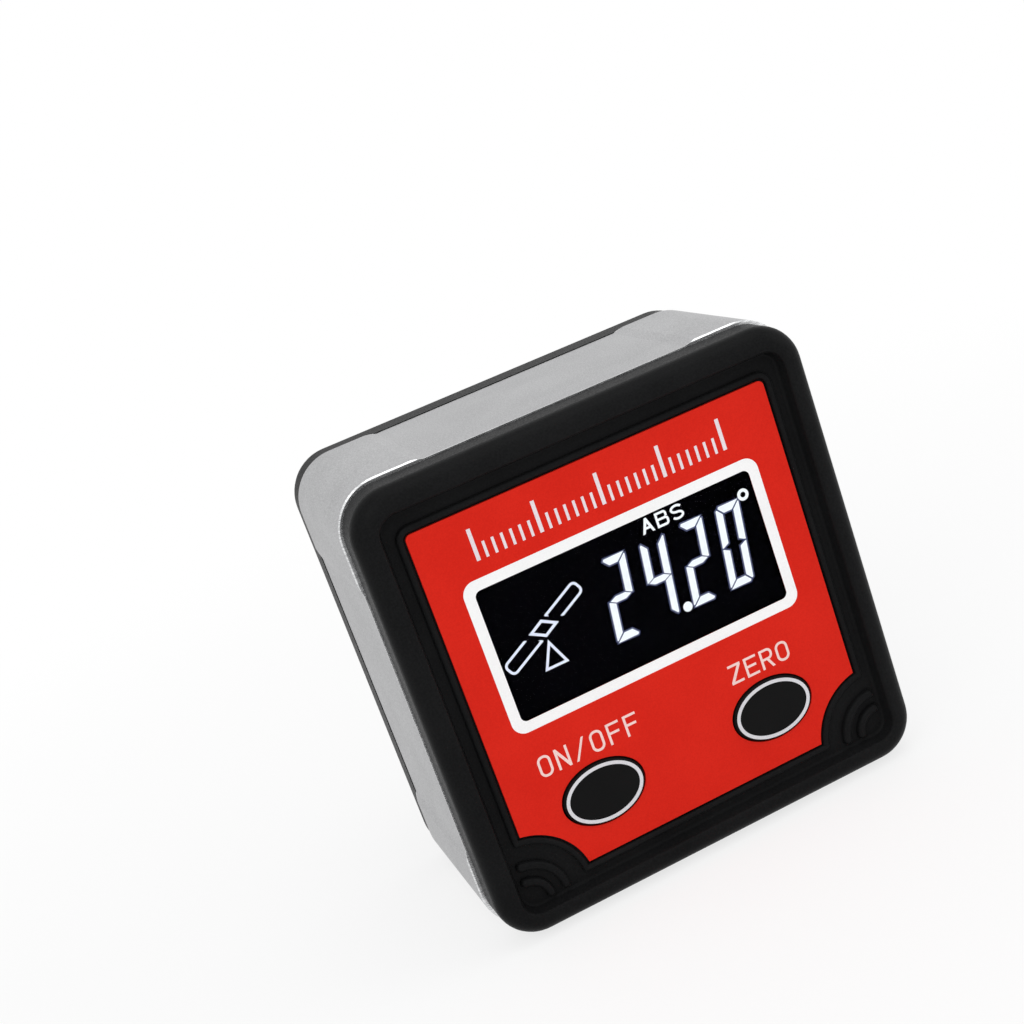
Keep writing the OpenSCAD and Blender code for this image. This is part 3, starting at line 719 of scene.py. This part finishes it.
def bar_corners():
    w, h, t, g, m = FIGURE_W, FIGURE_H, BAR, GAP, FIGURE_H / 2
    half = t / 2
    return {
        "top": [(g + 0.3, h), (g + 0.2, h - 0.2), (t + g, h - t), (w - t - g, h - t), (w - g, h)],
        "bottom": [(g, 0), (w - g - 0.3, 0), (w - g - 0.2, 0.2), (w - t - g, t), (t + g, t)],
        "middle": [(g + 0.1, m), (t, m - half + g), (w - t, m - half + g), (w - g - 0.1, m),
                   (w - t, m + half - g), (t, m + half - g)],
        "upper_left": [(0, m + g), (0.12, m + g), (t - g, m + half), (t - g, h - t - g),
                       (0.14, h - TIP), (0, h - TIP - 0.1)],
        "upper_right": [(w, m + g), (w, h - TIP), (w - 0.1, h - TIP + 0.06),
                        (w - t + g, h - t - g), (w - t + g, m + half), (w - 0.12, m + g)],
        "lower_left": [(0, TIP), (0.1, TIP - 0.06), (t - g, t + g), (t - g, m - half),
                       (0.12, m - g), (0, m - g)],
        "lower_right": [(w, TIP + 0.1), (w, m - g), (w - 0.12, m - g), (w - t + g, m - half),
                        (w - t + g, t + g), (w - 0.14, TIP)],
    }


print("bars of a figure:", sorted(bar_corners()))

# %% Halo and slant
SLANT = math.tan(math.radians(6.7))
SHARPEST = 1.4


def grown(corners, by):
    """The outline with each edge moved out by this much, but no spikes.

    Corners run counter-clockwise, and none moves further than SHARPEST times as far.
    """
    moved = []
    for i, corner in enumerate(corners):
        before, here = Vector(corners[i - 1]), Vector(corner)
        after = Vector(corners[(i + 1) % len(corners)])
        a, b = (here - before).normalized(), (after - here).normalized()
        out_a, out_b = Vector((a.y, -a.x)), Vector((b.y, -b.x))
        out = (out_a + out_b) * by / (1 + out_a.dot(out_b))
        moved.append(tuple(here + out * min(1, SHARPEST * by / out.length)))
    return moved


def slanted(corners, right_top, low):
    left = right_top - FIGURE_W - FIGURE_H * SLANT
    return [(left + x + y * SLANT, low + y) for x, y in corners]


print(f"figures lean by {SLANT:.3f}")

# %% Reading
LIT = {
    "2": ["top", "upper_right", "middle", "lower_left", "bottom"],
    "4": ["upper_left", "upper_right", "middle", "lower_right"],
    "0": ["top", "bottom", "upper_left", "upper_right", "lower_left", "lower_right"],
}
FIGURE_FOOT, HALO = 0.42, 0.17
HALO_LAYER, LIGHT_LAYER = 0.006, 0.02
bars, halos = [], []
for figure, right_top in zip("2420", (0.42, 4.93, 9.42, 13.83)):
    for name in LIT[figure]:
        corners = slanted(bar_corners()[name], right_top, FIGURE_FOOT)
        bars.append(polygon(corners))
        halos.append(polygon(grown(corners, HALO)))
bars.append(ellipse(4.97, 0.82, 1.04, 1.08, 32))
degree = ellipse(14.48, 9.42, 1.28, 1.28, 40)
outline(degree, 0.34)
bars.append(degree)
bars += lettering("ABS", 2.9, 7.8, 9.88, 11.5, 1.42, 0.25)
stand_up("display_halo", halos, GLASS_FACE, HALO_LAYER, lit_halo, "box")
stand_up("display_figures", bars, GLASS_FACE, LIGHT_LAYER, lit_white, "box")

# %% [markdown]
# ## The level sign
# Beside the figures the display draws a tilted bar on a point. The bar's two arms are the same open
# outline, so one arm is drawn along X, cut open with a slanted bisect, and its copy is turned half
# round.

# %% Level sign
SIGN_X, SIGN_Y, TILT = -10.15, 5.33, math.radians(28.6)


def turned(piece, angle):
    piece.rotation_euler = (0, 0, angle)
    piece.location = (SIGN_X, SIGN_Y, 0)
    only(piece)
    bpy.ops.object.transform_apply(location=True, rotation=True, scale=True)
    return piece


def arm():
    piece = rectangle(3.3, 0, 4.6, 1.7)
    round_corners(piece, 0.62, lambda spot: spot.x > 3)
    outline(piece, 0.27)
    bpy.ops.object.mode_set(mode="EDIT")
    bpy.ops.mesh.select_all(action="SELECT")
    bpy.ops.mesh.bisect(plane_co=(1.57, 0, 0), plane_no=(1.44, 0.81, 0), clear_inner=True)
    bpy.ops.object.mode_set(mode="OBJECT")
    return piece


rhomb = polygon([(1.72, 0), (0, 0.98), (-1.72, 0), (0, -0.98)])
outline(rhomb, 0.3)
pointer = polygon([(0, -1.28), (-1.36, -4.32), (1.36, -4.32)])
outline(pointer, 0.28)
sign = [turned(arm(), TILT), turned(arm(), TILT + math.pi), turned(rhomb, 0), turned(pointer, 0)]
stand_up("level_sign", sign, GLASS_FACE, LIGHT_LAYER, lit_line, "box")

# %% [markdown]
# ## Floor and light
# The floor and the sky are white to the eye, to metal and to glass, while for the light itself they
# are only a pale room. That keeps the picture's ground white without more light on the gauge. Near
# the gauge the floor is mixed from a lit and a plain white, so that the shadow stays on it; further
# out the lit white takes over, so that no horizon shows.

# %% Floor
FLOOR_SIZE = 6
NEAR_SHARE = 0.75
SHADOW_FROM, SHADOW_TO = 0.05, 0.2
bpy.ops.object.select_all(action="DESELECT")
bpy.ops.mesh.primitive_plane_add(size=FLOOR_SIZE)
floor = bpy.context.object
floor.name = "floor"


def seen_straight(tree):
    """1 for rays of the camera, of gloss and of glass."""
    eye, gloss, glass = (Wire(tree).node("LightPath", out=name)
                         for name in ("Is Camera Ray", "Is Glossy Ray", "Is Transmission Ray"))
    return eye.math("MAXIMUM", eye.math("MAXIMUM", eye, gloss), glass)


pale_floor, shader, place = new_finish("pale_floor", Roughness=0.9, Specular_IOR_Level=0.1)
feed(shader, Base_Color=grain(place, 400.0).between((0.86, 0.86, 0.86), (0.88, 0.88, 0.88)))
tree = pale_floor.node_tree
glow = Wire(tree).node("Emission", {}, {"Color": (1, 1, 1, 1), "Strength": 1.0})
distance = place.node("VectorMath", {"operation": "LENGTH"}, {0: place}, out="Value")
away = distance.over(SHADOW_FROM, SHADOW_TO)
share = seen_straight(tree) * (NEAR_SHARE + away * (1 - NEAR_SHARE))
mixed = glow.node("MixShader", {}, {0: share, 1: Wire(tree, shader.outputs[0]), 2: glow})
tree.links.new(mixed.socket, tree.nodes["Material Output"].inputs["Surface"])
floor.data.materials.append(pale_floor)
print("floor", FLOOR_SIZE, "m across")

# %% Sky
ROOM = 0.75
world = bpy.data.worlds.new("pale_room")
world.use_nodes = True
bpy.context.scene.world = world
background = world.node_tree.nodes["Background"]
background.inputs["Color"].default_value = (1, 1, 1, 1)
level = seen_straight(world.node_tree) * (1 - ROOM) + ROOM
world.node_tree.links.new(level.socket, background.inputs["Strength"])
print("the room's light is", ROOM, "of the white that is seen")

# %% Lamps
MIDDLE = Vector((0, 0, 0.025))
LAMPS = {
    # name: place and width in metres, power in watts
    "key_softbox": ((-0.35, -0.5, 0.6), 0.5, 1.4),
    "side_softbox": ((0.6, -0.25, 0.3), 0.35, 0.6),
    "top_softbox": ((0.15, -0.1, 0.7), 0.4, 0.8),
}
for name, (spot, width, power) in LAMPS.items():
    bpy.ops.object.select_all(action="DESELECT")
    bpy.ops.object.light_add(type="AREA", location=spot)
    lamp = bpy.context.object
    lamp.name = name
    lamp.data.shape = "SQUARE"
    lamp.data.size = width
    lamp.data.energy = power
    lamp.rotation_euler = (MIDDLE - Vector(spot)).to_track_quat("-Z", "Y").to_euler()
bpy.context.scene.view_settings.view_transform = "Standard"
